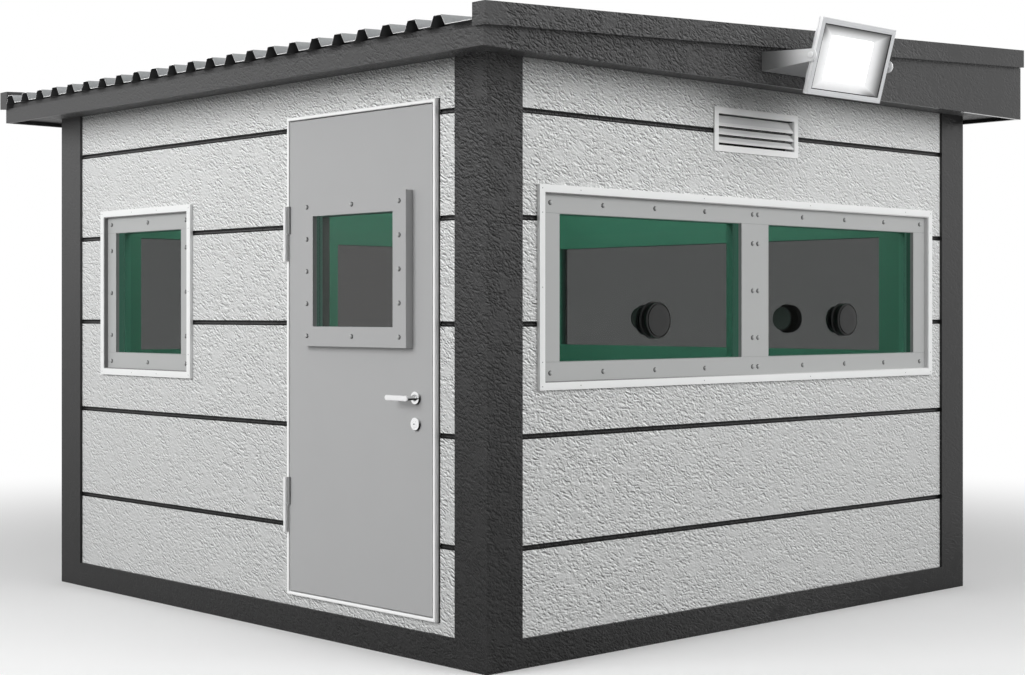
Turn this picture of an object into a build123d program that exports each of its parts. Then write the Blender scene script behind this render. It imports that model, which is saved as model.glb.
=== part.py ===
"""Security guard booth: a square insulated cabin that one person walks into.

A dark base and four dark corner posts carry light sandwich-panel walls, with wide glazed bands on
three sides, a square window and an outward-opening steel door on the fourth, and a mono-pitch
corrugated roof behind deep fascias. The front wall, with the vent and the floodlight, faces -Y and
the door wall faces -X. The origin is the centre of the underside of the base.
"""
import os
from math import atan2, cos, radians, sin
from build123d import *

os.makedirs("parts", exist_ok=True)

# Cabin
cabin_width = 3300.0          # over the posts, along X
cabin_depth = 3300.0          # over the posts, along Y
base_height = 117.0
base_rail_width = 190.0       # width of the rails of the base, seen from above
wall_top = 2410.0             # top of the walls, underside of the ceiling
post_face = 190.0             # width of each visible face of a corner post
wall_recess = 14.0            # wall panels lie this far behind the faces of the posts
wall_thickness = 100.0
joint_heights = (471.0, 911.0, 1356.0, 1777.0, 2201.0)   # joints between the wall panels
joint_width = 22.0
joint_depth = 8.0

# Roof
overhang = 207.0              # of the fascias past the posts, on all four sides
fascia_thickness = 20.0
fascia_bottom = 2391.0
fascia_low_top = 2464.0       # top of the fascia at the low side, -X
roof_fall = 190.0             # rise of the fascia top from the low to the high side
ceiling_thickness = 40.0
flashing_height = 88.0        # box flashings along the front and back edges of the roof
flashing_width = 72.0
flashing_proud = 30.0         # in front of the fascia
flashing_low_end = 18.0       # past the fascia at the low side
flashing_high_end = -17.0     # past the fascia at the high side, so it stops short of it
purlin_width = 50.0
purlin_count = 5
sheet_lift = 24.0             # underside of the sheet's valleys above the line of the fascia top
sheet_thickness = 2.0
sheet_overhang = 20.0         # past the low fascia
rib_pitch = 154.2
rib_height = 41.0
rib_top = 42.0
rib_base = 86.0
first_rib = 28.0              # centre of the front rib, from the front face of the posts

# Windows
window_height = 1502.0        # centre of every wall window above the ground
window_margin = 122.0         # wall between a corner post and a wide window
pane_height = 596.0
mullion = 190.0
wide_stile = 101.0
side_stile = 131.0            # of the window in the wall that faces +X
back_mullion = 150.0
rail = 82.0
small_pane = 596.0            # square window beside the door
small_window_place = 810.0    # its centre, from the back face of the posts
frame_recess = 20.0           # front of a window frame behind the faces of the posts
frame_lip = 18.0              # frame in front of the glass
frame_upstand = 4.0           # thin edge of the frame that lines the inside of the trim
glass_thickness = 40.0
glass_bite = 15.0             # how far the glass goes into the frame on each side
trim_width = 31.0
trim_proud = 3.0              # front of the white trim, in front of the faces of the posts

# Round ports in the wide windows
side_port_place = 540.0       # from the middle of the window that faces +X
port_drop = 133.0             # centre of the ports below the centre of the window
port_steps = ((80.0, 3.0), (74.0, 24.0), (77.5, 9.0), (72.5, 6.0))   # radius, thickness, from the glass out
port_sleeve = 50.0
port_sleeve_gap = 0.5
port_inner_radius = 70.0
port_inner_thickness = 20.0

# Vent above the front window
vent_width = 590.0
vent_height = 196.0
vent_centre = 2210.0
vent_border = 25.0
vent_proud = 8.0
vent_depth = 46.0
vent_sleeve_wall = 3.0
slat_count = 3
slat_pitch = 37.0
first_slat = 55.0             # lower lip of the top slat, below the inner edge of the flange
slat_width = 56.0
slat_thickness = 3.0
slat_lip = 7.0
slat_angle = 50.0             # from level

# Door, in the wall that faces -X
door_place = 300.0            # front edge of the casing, from the front face of the posts
casing_width = 1000.0
casing_bottom = 166.0
casing_top = 2255.0
casing_proud = 8.0
casing_round = 5.0            # radius of the casing's front edges
casing_edge = 15.0            # visible edge around the leaf
casing_stop = 45.0            # width of the casing behind the leaf
leaf_gap = 5.0
leaf_setback = 4.0            # leaf face behind the front of the casing
leaf_thickness = 50.0
stop_gap = 6.0
door_pane_width = 540.0
door_pane_height = 472.0
door_pane_centre = 1578.0
door_pane_place = 796.0       # centre of the pane, from the front face of the posts
door_box_border = 84.0
door_box_proud = 36.0         # window box in front of the leaf
door_glass_front = 14.0       # front of the glass in front of the leaf
door_glass_thickness = 36.0
door_inner_border = 50.0
door_inner_proud = 10.0

# Door hardware
handle_place = 418.0          # from the front face of the posts
handle_height = 1057.0
lock_height = 952.0
rose_radius = 27.0
rose_thickness = 10.0
keyway_width = 5.0
keyway_height = 22.0
spindle_radius = 8.0
spindle_gap = 0.1
lever_reach = 57.0            # from the leaf to the middle of the grip
lever_length = 142.0
lever_height = 24.0
lever_thickness = 11.0
hinge_heights = (561.0, 1746.0)
hinge_length = 240.0
hinge_radius = 7.5
hinge_out = 8.5               # axis in front of the casing
hinge_in = 1.0                # axis inside the outer edge of the casing
hinge_split = 2.0
pin_radius = 4.0
pin_gap = 0.1
hinge_strap_length = 6.0      # of the plate on the leaf
hinge_link_thickness = 3.0
hinge_link_gap = 1.5          # between the link and the casing
hinge_foot_thickness = 2.5    # of the plate on the casing
hinge_web_width = 6.0

# Floodlight on the front fascia
lamp_place = 1694.5           # centre, from the outer face of the door-side posts
lamp_height = 2488.0          # pivot above the ground
lamp_reach = 263.0            # pivot in front of the fascia
lamp_tilt = 15.8              # degrees that the lamp looks down at rest
lamp_width = 526.0
lamp_tall = 328.0
lamp_border = 24.0
lamp_frame_depth = 24.0
lamp_box_depth = 38.0
lamp_box_width = 440.0
lamp_box_tall = 180.0
lens_width = 290.0
lens_tall = 184.0
lens_thickness = 4.0
reflector_depth = 20.0
reflector_rim = 1.0
arm_gap = 9.0
arm_thickness = 6.0
arm_root = 83.0
arm_end_radius = 26.0
arm_root_centre = 2486.5
pivot_radius = 8.0
pivot_gap = 0.1
pivot_head_radius = 13.0
pivot_head_thickness = 6.0

# Worked out from the sizes above
half_x = cabin_width / 2
half_y = cabin_depth / 2
wall_back = wall_recess + wall_thickness        # inner face of the walls behind the posts' faces
eave_x = half_x + overhang
eave_y = half_y + overhang
roof_slope = roof_fall / (2 * eave_x)
across_x = half_x - post_face                   # from the middle of a wall to its corner post
across_y = half_y - post_face
wide_window = {"front": 2 * (across_x - window_margin), "back": 2 * (across_x - window_margin),
               "right": 2 * (across_y - window_margin)}
small_window = small_pane + 2 * rail
window_tall = pane_height + 2 * rail
glass_front = frame_recess + frame_lip
port_height = window_height - port_drop


def side(face, out=0.0):
    """Plane of one side of the cabin, flush with the posts and moved outwards by out.

    Local x runs to the right as seen from outside and local y is the height above the ground.
    """
    planes = {
        "front": Plane(origin=(0, -half_y - out, 0), x_dir=(1, 0, 0), z_dir=(0, -1, 0)),
        "back": Plane(origin=(0, half_y + out, 0), x_dir=(-1, 0, 0), z_dir=(0, 1, 0)),
        "left": Plane(origin=(-half_x - out, 0, 0), x_dir=(0, -1, 0), z_dir=(-1, 0, 0)),
        "right": Plane(origin=(half_x + out, 0, 0), x_dir=(0, 1, 0), z_dir=(1, 0, 0)),
    }
    return planes[face]


def along_left(place):
    """Local x on the door wall of a place measured from the front face of the posts."""
    return half_y - place


def panel(x_from, x_to, z_from, z_to, mode=Mode.ADD):
    """Rectangle of the open sketch, given by its edges."""
    with Locations(((x_from + x_to) / 2, (z_from + z_to) / 2)):
        Rectangle(x_to - x_from, z_to - z_from, mode=mode)


def roof_line(x):
    """Height of the top of the front and back fascias at x."""
    return fascia_low_top + roof_slope * (x + eave_x)


def save(part, name):
    """Label a finished piece and write it to its own file."""
    part.label = name
    export_step(part, f"parts/{name}.step")


# Base: a ring of rails with the insulated floor between them
with BuildPart() as base_frame:
    with BuildSketch():
        Rectangle(cabin_width, cabin_depth)
        Rectangle(cabin_width - 2 * base_rail_width, cabin_depth - 2 * base_rail_width, mode=Mode.SUBTRACT)
    extrude(amount=base_height)
save(base_frame.part, "base_frame")

with BuildPart() as floor:
    with BuildSketch():
        Rectangle(cabin_width - 2 * base_rail_width, cabin_depth - 2 * base_rail_width)
    extrude(amount=base_height)
save(floor.part, "floor")

# Corner posts: folded corners whose inner faces are flush with the walls
with BuildPart() as corner_posts:
    with BuildSketch(Plane.XY.offset(base_height)):
        for to_x in (-1, 1):
            for to_y in (-1, 1):
                with Locations((to_x * (half_x - post_face / 2), to_y * (half_y - post_face / 2))):
                    Rectangle(post_face, post_face)
        Rectangle(cabin_width - 2 * wall_back, cabin_depth - 2 * wall_back, mode=Mode.SUBTRACT)
    extrude(amount=wall_top - base_height)
save(corner_posts.part, "corner_posts")


# Walls: light panels with dark horizontal joints, cut through for the windows, vent and door
def wall_panel(face, x_from, x_to, z_from, z_to, holes=()):
    """Stretch of one wall; holes are (centre x, centre z, width, height) cut right through."""
    with BuildPart() as wall:
        with BuildSketch(side(face, -wall_recess)):
            panel(x_from, x_to, z_from, z_to)
            for hole_x, hole_z, hole_width, hole_tall in holes:
                with Locations((hole_x, hole_z)):
                    Rectangle(hole_width, hole_tall, mode=Mode.SUBTRACT)
        extrude(amount=-wall_thickness)
        joints = [height for height in joint_heights if z_from < height < z_to]
        if joints:
            with BuildSketch(side(face, -wall_recess)):
                for height in joints:
                    panel(x_from, x_to, height - joint_width / 2, height + joint_width / 2)
            extrude(amount=-joint_depth, mode=Mode.SUBTRACT)
    return wall.part


wide_holes = {face: (0.0, window_height, width, window_tall) for face, width in wide_window.items()}
vent_hole = (0.0, vent_centre, vent_width - 2 * vent_border, vent_height - 2 * vent_border)
small_centre = small_window_place - half_y
small_hole = (small_centre, window_height, small_window, window_tall)
casing_right = along_left(door_place)
casing_left = casing_right - casing_width

save(wall_panel("front", -across_x, across_x, base_height, wall_top, (wide_holes["front"], vent_hole)),
     "front_wall")
save(wall_panel("back", -across_x, across_x, base_height, wall_top, (wide_holes["back"],)), "back_wall")
save(wall_panel("right", -across_y, across_y, base_height, wall_top, (wide_holes["right"],)), "right_wall")
save(wall_panel("left", -across_y, casing_left, base_height, wall_top, (small_hole,)), "door_wall_rear")
save(wall_panel("left", casing_right, across_y, base_height, wall_top), "door_wall_front")
save(wall_panel("left", casing_left, casing_right, casing_top, wall_top), "door_wall_over")
save(wall_panel("left", casing_left, casing_right, base_height, casing_bottom), "door_wall_under")


# Windows: a white trim on the wall, a grey frame in the opening, thick glass in its groove
def window_trim(face, centre, width):
    """White trim around one window opening, on the face of the wall."""
    with BuildPart() as trim:
        with BuildSketch(side(face, -wall_recess)):
            with Locations((centre, window_height)):
                Rectangle(width + 2 * trim_width, window_tall + 2 * trim_width)
                Rectangle(width, window_tall, mode=Mode.SUBTRACT)
        extrude(amount=wall_recess + trim_proud)
    return trim.part


def window_frame(face, centre, width, pane_centres, pane_width):
    """Frame through the whole wall, with a groove around each pane for the glass."""
    places = [(pane_centre, window_height) for pane_centre in pane_centres]
    with BuildPart() as frame:
        with BuildSketch(side(face, -frame_recess)):
            with Locations((centre, window_height)):
                Rectangle(width, window_tall)
            with Locations(*places):
                Rectangle(pane_width, pane_height, mode=Mode.SUBTRACT)
        extrude(amount=frame_recess - wall_back)
        with BuildSketch(side(face, -frame_recess)):
            with Locations((centre, window_height)):
                Rectangle(width, window_tall)
                Rectangle(width - 2 * frame_upstand, window_tall - 2 * frame_upstand, mode=Mode.SUBTRACT)
        extrude(amount=frame_recess)
        with BuildSketch(side(face, -glass_front)):
            with Locations(*places):
                Rectangle(pane_width + 2 * glass_bite, pane_height + 2 * glass_bite)
        extrude(amount=-glass_thickness, mode=Mode.SUBTRACT)
    return frame.part


def window_glass(face, pane_centres, pane_width, port_centres=()):
    """Panes of one window, with a hole for the sleeve of each round port."""
    with BuildPart() as glass:
        with BuildSketch(side(face, -glass_front)):
            with Locations(*[(pane_centre, window_height) for pane_centre in pane_centres]):
                Rectangle(pane_width + 2 * glass_bite, pane_height + 2 * glass_bite)
            for port_centre in port_centres:
                with Locations((port_centre, port_height)):
                    Circle(port_sleeve + port_sleeve_gap, mode=Mode.SUBTRACT)
        extrude(amount=-glass_thickness)
    return glass.part


def ports(face, port_centres):
    """Round ports of one window: stepped rings outside, a sleeve in the glass, a flange inside."""
    places = [(port_centre, port_height) for port_centre in port_centres]
    with BuildPart() as plugs:
        out = -glass_front
        for radius, thickness in port_steps:
            with BuildSketch(side(face, out)):
                with Locations(*places):
                    Circle(radius)
            extrude(amount=thickness)
            out += thickness
        with BuildSketch(side(face, -glass_front)):
            with Locations(*places):
                Circle(port_sleeve)
        extrude(amount=-glass_thickness)
        with BuildSketch(side(face, -glass_front - glass_thickness)):
            with Locations(*places):
                Circle(port_inner_radius)
        extrude(amount=-port_inner_thickness)
    return plugs.part


for face, width in wide_window.items():
    middle_bar = back_mullion if face == "back" else mullion
    half_pane = (width - 2 * wide_stile - middle_bar) / 2
    port_centres = (-(half_pane + middle_bar) / 2, (half_pane + middle_bar) / 2)
    pane_centres, pane_width = port_centres, half_pane
    if face == "right":
        port_centres = (-side_port_place, side_port_place)
        pane_centres, pane_width = (0.0,), width - 2 * side_stile
    save(window_trim(face, 0.0, width), f"{face}_window_trim")
    save(window_frame(face, 0.0, width, pane_centres, pane_width), f"{face}_window_frame")
    save(window_glass(face, pane_centres, pane_width, port_centres), f"{face}_window_glass")
    save(ports(face, port_centres), f"{face}_window_ports")

save(window_trim("left", small_centre, small_window), "left_window_trim")
save(window_frame("left", small_centre, small_window, (small_centre,), small_pane), "left_window_frame")
save(window_glass("left", (small_centre,), small_pane), "left_window_glass")

# Vent: a flanged grille with a sleeve in the front wall, whose slats slope down to a lip outside
vent_inner_width = vent_width - 2 * vent_border
vent_inner_height = vent_height - 2 * vent_border
with BuildPart() as vent_grille:
    with BuildSketch(side("front", -wall_recess)):
        with Locations((0, vent_centre)):
            Rectangle(vent_width, vent_height)
            Rectangle(vent_inner_width - 2 * vent_sleeve_wall, vent_inner_height - 2 * vent_sleeve_wall,
                      mode=Mode.SUBTRACT)
    extrude(amount=vent_proud)
    with BuildSketch(side("front", -wall_recess)):
        with Locations((0, vent_centre)):
            Rectangle(vent_inner_width, vent_inner_height)
            Rectangle(vent_inner_width - 2 * vent_sleeve_wall, vent_inner_height - 2 * vent_sleeve_wall,
                      mode=Mode.SUBTRACT)
    extrude(amount=-vent_depth)
    with BuildSketch(Plane.YZ.offset(-vent_inner_width / 2)):
        slope = radians(slat_angle)
        for slat in range(slat_count):
            lip_y = -half_y + wall_recess
            lip_z = vent_centre + vent_inner_height / 2 - first_slat - slat * slat_pitch
            with Locations((lip_y + slat_width / 2 * cos(slope), lip_z + slat_width / 2 * sin(slope))):
                Rectangle(slat_width, slat_thickness, rotation=slat_angle)
            with Locations((lip_y, lip_z)):
                Rectangle(slat_thickness, slat_lip)
    extrude(amount=vent_inner_width)
save(vent_grille.part, "vent_grille")


# Roof: the ceiling panel runs out to the fascias as the soffit
def roof_piece(x_from, x_to, y_from, y_to, bottom_from, bottom_to, lift):
    """Bar from x_from to x_to whose top follows the roof line, raised by lift."""
    with BuildPart() as piece:
        with BuildSketch(Plane.XZ.offset(-y_to)):
            Polygon((x_from, bottom_from), (x_to, bottom_to),
                    (x_to, roof_line(x_to) + lift), (x_from, roof_line(x_from) + lift), align=None)
        extrude(amount=y_to - y_from)
    return piece.part


inside_x = eave_x - fascia_thickness
inside_y = eave_y - fascia_thickness
with BuildPart() as ceiling:
    with BuildSketch(Plane.XY.offset(wall_top)):
        Rectangle(2 * inside_x, 2 * inside_y)
    extrude(amount=ceiling_thickness)
save(ceiling.part, "ceiling")

save(roof_piece(-eave_x, eave_x, -eave_y, -inside_y, fascia_bottom, fascia_bottom, 0), "front_fascia")
save(roof_piece(-eave_x, eave_x, inside_y, eave_y, fascia_bottom, fascia_bottom, 0), "back_fascia")
save(roof_piece(-eave_x, -inside_x, -inside_y, inside_y, fascia_bottom, fascia_bottom, 0), "low_fascia")
save(roof_piece(inside_x, eave_x, -inside_y, inside_y, fascia_bottom, fascia_bottom, 0), "high_fascia")

flashing_front = eave_y + flashing_proud
sheet_edge = flashing_front - flashing_width
purlin_bottom = wall_top + ceiling_thickness
with BuildPart() as purlins:
    with BuildSketch(Plane.XZ.offset(-sheet_edge)):
        for number in range(purlin_count):
            start = -inside_x + number * (2 * inside_x - purlin_width) / (purlin_count - 1)
            end = start + purlin_width
            Polygon((start, purlin_bottom), (end, purlin_bottom),
                    (end, roof_line(end) + sheet_lift), (start, roof_line(start) + sheet_lift), align=None)
    extrude(amount=2 * sheet_edge)
save(purlins.part, "purlins")

flashing_low = -eave_x - flashing_low_end
flashing_high = eave_x + flashing_high_end
for name, front, back in (("front_flashing", -flashing_front, -sheet_edge),
                          ("back_flashing", sheet_edge, flashing_front)):
    flashing = roof_piece(flashing_low, flashing_high, front, back,
                          roof_line(flashing_low), roof_line(flashing_high), flashing_height)
    save(flashing, name)

# Corrugated sheet: ribs run down the slope, from the high side to past the low fascia
slope_angle = atan2(roof_fall, 2 * eave_x)
sheet_low = -eave_x - sheet_overhang
sheet_length = (flashing_high - sheet_low) / cos(slope_angle)
sheet_plane = Plane(origin=(sheet_low, 0, roof_line(sheet_low) + sheet_lift),
                    x_dir=(0, 1, 0), z_dir=(cos(slope_angle), 0, sin(slope_angle)))
underside = [(-sheet_edge, 0.0)]
front_rib = -half_y + first_rib
rib_count = int((sheet_edge - rib_base / 2 - front_rib) / rib_pitch) + 1
for rib in range(rib_count):
    rib_centre = front_rib + rib * rib_pitch
    underside += [(rib_centre - rib_base / 2, 0.0), (rib_centre - rib_top / 2, rib_height - sheet_thickness),
                  (rib_centre + rib_top / 2, rib_height - sheet_thickness), (rib_centre + rib_base / 2, 0.0)]
underside.append((sheet_edge, 0.0))
topside = [(place, height + sheet_thickness) for place, height in reversed(underside)]
with BuildPart() as roof_sheet:
    with BuildSketch(sheet_plane):
        with BuildLine():
            Polyline(*underside, *topside, close=True)
        make_face()
    extrude(amount=sheet_length)
save(roof_sheet.part, "roof_sheet")

# Door casing: a narrow edge around the leaf and a wider stop behind it
leaf_out = casing_proud - leaf_setback
stop_out = leaf_out - leaf_thickness - stop_gap
casing_height = casing_top - casing_bottom
casing_centre = ((casing_left + casing_right) / 2, (casing_bottom + casing_top) / 2)
with BuildPart() as door_casing:
    with BuildSketch(side("left", casing_proud)):
        with Locations(casing_centre):
            Rectangle(casing_width, casing_height)
            Rectangle(casing_width - 2 * casing_edge, casing_height - 2 * casing_edge, mode=Mode.SUBTRACT)
    extrude(amount=stop_out - casing_proud)
    fillet(door_casing.faces().sort_by(Axis.X)[0].edges(), radius=casing_round)
    with BuildSketch(side("left", stop_out)):
        with Locations(casing_centre):
            Rectangle(casing_width, casing_height)
            Rectangle(casing_width - 2 * casing_stop, casing_height - 2 * casing_stop, mode=Mode.SUBTRACT)
    extrude(amount=-wall_back - stop_out)
save(door_casing.part, "door_casing")

# Door leaf, with a hole for its glass and one for the spindle of the handle
leaf_width = casing_width - 2 * casing_edge - 2 * leaf_gap
leaf_height = casing_height - 2 * casing_edge - 2 * leaf_gap
leaf_back = leaf_out - leaf_thickness
pane_place = (along_left(door_pane_place), door_pane_centre)
handle_spot = (along_left(handle_place), handle_height)
lock_spot = (along_left(handle_place), lock_height)
door_glass_width = door_pane_width + 2 * glass_bite
door_glass_height = door_pane_height + 2 * glass_bite
with BuildPart() as door_leaf:
    with BuildSketch(side("left", leaf_out)):
        with Locations(casing_centre):
            Rectangle(leaf_width, leaf_height)
        with Locations(pane_place):
            Rectangle(door_glass_width, door_glass_height, mode=Mode.SUBTRACT)
        with Locations(handle_spot):
            Circle(spindle_radius + spindle_gap, mode=Mode.SUBTRACT)
    extrude(amount=-leaf_thickness)
save(door_leaf.part, "door_leaf")

# Door window: a deep box frame outside that holds the glass, and a flanged ring inside
door_glass_face = leaf_out + door_glass_front
door_glass_back = door_glass_face - door_glass_thickness
with BuildPart() as door_window_frame:
    with BuildSketch(side("left", leaf_out)):
        with Locations(pane_place):
            Rectangle(door_pane_width + 2 * door_box_border, door_pane_height + 2 * door_box_border)
            Rectangle(door_pane_width, door_pane_height, mode=Mode.SUBTRACT)
    extrude(amount=door_box_proud)
    with BuildSketch(side("left", leaf_out)):
        with Locations(pane_place):
            Rectangle(door_glass_width, door_glass_height)
    extrude(amount=door_glass_front, mode=Mode.SUBTRACT)
    with BuildSketch(side("left", leaf_back)):
        with Locations(pane_place):
            Rectangle(door_glass_width, door_glass_height)
            Rectangle(door_pane_width, door_pane_height, mode=Mode.SUBTRACT)
    extrude(amount=door_glass_back - leaf_back)
    with BuildSketch(side("left", leaf_back)):
        with Locations(pane_place):
            Rectangle(door_pane_width + 2 * door_inner_border, door_pane_height + 2 * door_inner_border)
            Rectangle(door_pane_width, door_pane_height, mode=Mode.SUBTRACT)
    extrude(amount=-door_inner_proud)
save(door_window_frame.part, "door_window_frame")

with BuildPart() as door_window_glass:
    with BuildSketch(side("left", door_glass_face)):
        with Locations(pane_place):
            Rectangle(door_glass_width, door_glass_height)
    extrude(amount=-door_glass_thickness)
save(door_window_glass.part, "door_window_glass")

# Roses of the handle and the lock, on both faces of the leaf
with BuildPart() as door_lock:
    for out, thickness in ((leaf_out, rose_thickness), (leaf_back, -rose_thickness)):
        with BuildSketch(side("left", out)):
            with Locations(handle_spot, lock_spot):
                Circle(rose_radius)
            with Locations(handle_spot):
                Circle(spindle_radius + spindle_gap, mode=Mode.SUBTRACT)
            with Locations(lock_spot):
                Rectangle(keyway_width, keyway_height, mode=Mode.SUBTRACT)
        extrude(amount=thickness)
save(door_lock.part, "door_lock")

# Lever handles on one spindle, pointing towards the hinges
with BuildPart() as door_handle:
    with BuildSketch(side("left", leaf_out + lever_reach + lever_thickness / 2)):
        with Locations(handle_spot):
            Circle(spindle_radius)
    extrude(amount=-2 * lever_reach - leaf_thickness - lever_thickness)
    for out in (leaf_out + lever_reach + lever_thickness / 2, leaf_back - lever_reach + lever_thickness / 2):
        with BuildSketch(side("left", out)):
            with Locations((handle_spot[0] - lever_length / 2 + lever_height / 2, handle_spot[1])):
                SlotOverall(lever_length, lever_height)
        extrude(amount=-lever_thickness)
save(door_handle.part, "door_handle")

# Hinges: the lower knuckle and pin stand on the casing, the upper knuckle turns with the leaf
hinge_face = casing_proud + hinge_out
knuckle_length = (hinge_length - hinge_split) / 2
hinge_axis = side("left", hinge_face).from_local_coords((casing_left + hinge_in, 0))
casing_face_x = -half_x - casing_proud
leaf_face_x = -half_x - leaf_out
leaf_edge_y = -(casing_left + casing_edge + leaf_gap)


def bar(x_from, x_to, y_from, y_to):
    """Rectangle of the open horizontal sketch, given by its edges."""
    with Locations(((x_from + x_to) / 2, (y_from + y_to) / 2)):
        Rectangle(x_to - x_from, y_to - y_from)


with BuildPart() as hinge_casing_halves:
    for height in hinge_heights:
        with BuildSketch(Plane.XY.offset(height - hinge_length / 2)):
            with Locations((hinge_axis.X, hinge_axis.Y)):
                Circle(hinge_radius)
            bar(hinge_axis.X, casing_face_x,
                hinge_axis.Y - hinge_web_width / 2, hinge_axis.Y + hinge_web_width / 2)
            bar(casing_face_x - hinge_foot_thickness, casing_face_x,
                -(casing_left + casing_edge), hinge_axis.Y + hinge_web_width / 2)
        extrude(amount=knuckle_length)
        with BuildSketch(Plane.XY.offset(height - hinge_length / 2)):
            with Locations((hinge_axis.X, hinge_axis.Y)):
                Circle(pin_radius)
        extrude(amount=hinge_length)
save(hinge_casing_halves.part, "hinge_casing_halves")

link_x = casing_face_x - hinge_link_gap
strap_end = leaf_edge_y - hinge_strap_length
with BuildPart() as hinge_leaf_halves:
    for height in hinge_heights:
        with BuildSketch(Plane.XY.offset(height + hinge_split / 2)):
            with Locations((hinge_axis.X, hinge_axis.Y)):
                Circle(hinge_radius)
            bar(link_x - hinge_link_thickness, link_x, strap_end, hinge_axis.Y)
            bar(link_x - hinge_link_thickness, leaf_face_x, strap_end, leaf_edge_y)
            with Locations((hinge_axis.X, hinge_axis.Y)):
                Circle(pin_radius + pin_gap, mode=Mode.SUBTRACT)
        extrude(amount=knuckle_length)
save(hinge_leaf_halves.part, "hinge_leaf_halves")

# Floodlight bracket: a plate on the fascia with a tapered arm on each side
lamp_x = -half_x + lamp_place
lamp_y = -eave_y - lamp_reach
arm_outer = lamp_width / 2 + arm_gap + arm_thickness
with BuildPart() as floodlight_bracket:
    with BuildSketch(side("front", overhang)):
        with Locations((lamp_x, arm_root_centre)):
            Rectangle(2 * arm_outer, arm_root)
    extrude(amount=arm_thickness)
    for arm_x in (lamp_x - arm_outer, lamp_x + arm_outer - arm_thickness):
        with BuildSketch(Plane.YZ.offset(arm_x)):
            Polygon((-eave_y, arm_root_centre - arm_root / 2), (-eave_y, arm_root_centre + arm_root / 2),
                    (lamp_y, lamp_height + arm_end_radius), (lamp_y, lamp_height - arm_end_radius),
                    align=None)
            with Locations((lamp_y, lamp_height)):
                Circle(arm_end_radius)
                Circle(pivot_radius + pivot_gap, mode=Mode.SUBTRACT)
        extrude(amount=arm_thickness)
save(floodlight_bracket.part, "floodlight_bracket")

# Floodlight head: its plane stands at the pivot, local z along the beam
tilt = radians(lamp_tilt)
head = Plane(origin=(lamp_x, lamp_y, lamp_height), x_dir=(1, 0, 0), z_dir=(0, -cos(tilt), -sin(tilt)))
bezel_inner = (lamp_width - 2 * lamp_border, lamp_tall - 2 * lamp_border)
with BuildPart() as floodlight_frame:
    with BuildSketch(head.offset(lamp_frame_depth / 2)):
        Rectangle(lamp_width, lamp_tall)
        Rectangle(*bezel_inner, mode=Mode.SUBTRACT)
    extrude(amount=-lamp_frame_depth)
    for direction in (-1, 1):
        bolt_plane = Plane(origin=head.from_local_coords((direction * lamp_width / 2, 0, 0)),
                           z_dir=(direction, 0, 0))
        with BuildSketch(bolt_plane):
            Circle(pivot_radius)
        extrude(amount=arm_gap + arm_thickness + pivot_gap)
        with BuildSketch(bolt_plane.offset(arm_gap + arm_thickness + pivot_gap)):
            Circle(pivot_head_radius)
        extrude(amount=pivot_head_thickness)
save(floodlight_frame.part, "floodlight_frame")

with BuildPart() as floodlight_housing:
    with BuildSketch(head.offset(-lamp_frame_depth / 2)):
        Rectangle(lamp_width - lamp_border, lamp_tall - lamp_border)
    with BuildSketch(head.offset(-lamp_frame_depth / 2 - lamp_box_depth)):
        Rectangle(lamp_box_width, lamp_box_tall)
    loft()
save(floodlight_housing.part, "floodlight_housing")

with BuildPart() as floodlight_reflector:
    with BuildSketch(head.offset(-lamp_frame_depth / 2)):
        Rectangle(*bezel_inner)
    extrude(amount=reflector_depth)
    with BuildSketch(head.offset(-lamp_frame_depth / 2)):
        Rectangle(lens_width, lens_tall)
    with BuildSketch(head.offset(-lamp_frame_depth / 2 + reflector_depth)):
        Rectangle(bezel_inner[0] - 2 * reflector_rim, bezel_inner[1] - 2 * reflector_rim)
    loft(mode=Mode.SUBTRACT)
save(floodlight_reflector.part, "floodlight_reflector")

with BuildPart() as floodlight_lens:
    with BuildSketch(head.offset(-lamp_frame_depth / 2)):
        Rectangle(lens_width, lens_tall)
    extrude(amount=lens_thickness)
save(floodlight_lens.part, "floodlight_lens")
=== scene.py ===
from math import cos, pi, radians, sin

import bpy
import numpy as np
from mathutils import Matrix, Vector


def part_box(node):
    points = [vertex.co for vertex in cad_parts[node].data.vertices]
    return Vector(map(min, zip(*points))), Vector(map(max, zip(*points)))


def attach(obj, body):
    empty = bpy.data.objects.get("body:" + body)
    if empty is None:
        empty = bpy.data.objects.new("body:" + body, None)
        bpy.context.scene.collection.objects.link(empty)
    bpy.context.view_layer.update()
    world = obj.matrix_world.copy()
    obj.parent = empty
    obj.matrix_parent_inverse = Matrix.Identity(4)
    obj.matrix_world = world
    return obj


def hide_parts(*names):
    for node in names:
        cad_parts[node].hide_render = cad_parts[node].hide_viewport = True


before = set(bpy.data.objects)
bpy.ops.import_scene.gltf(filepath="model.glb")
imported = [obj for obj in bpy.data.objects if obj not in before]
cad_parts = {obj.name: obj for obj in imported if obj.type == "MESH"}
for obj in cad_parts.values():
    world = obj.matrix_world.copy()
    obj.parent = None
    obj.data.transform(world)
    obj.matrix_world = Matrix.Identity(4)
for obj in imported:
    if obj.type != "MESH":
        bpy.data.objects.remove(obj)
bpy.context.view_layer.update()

# Base frame: four steel box rails on the ground, clad in the same dark embossed sheet as the posts.
# The sheet is rolled with a crumpled relief before it is folded round the rails and riveted below.


def joined(kind, inputs, output=0, tree=None, **settings):
    """Output of a new node of this kind, whose inputs, by name or number, are set to a number or linked to
    a socket. Without a tree it stands in the tree of the first of these sockets."""
    if tree is None:
        tree = next(value.id_data for value in inputs.values() if isinstance(value, bpy.types.NodeSocket))
    node = tree.nodes.new(kind)
    for name, value in settings.items():
        setattr(node, name, value)
    for name, value in inputs.items():
        if isinstance(value, bpy.types.NodeSocket):
            tree.links.new(value, node.inputs[name])
        else:
            node.inputs[name].default_value = value
    return node.outputs[output]


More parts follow.
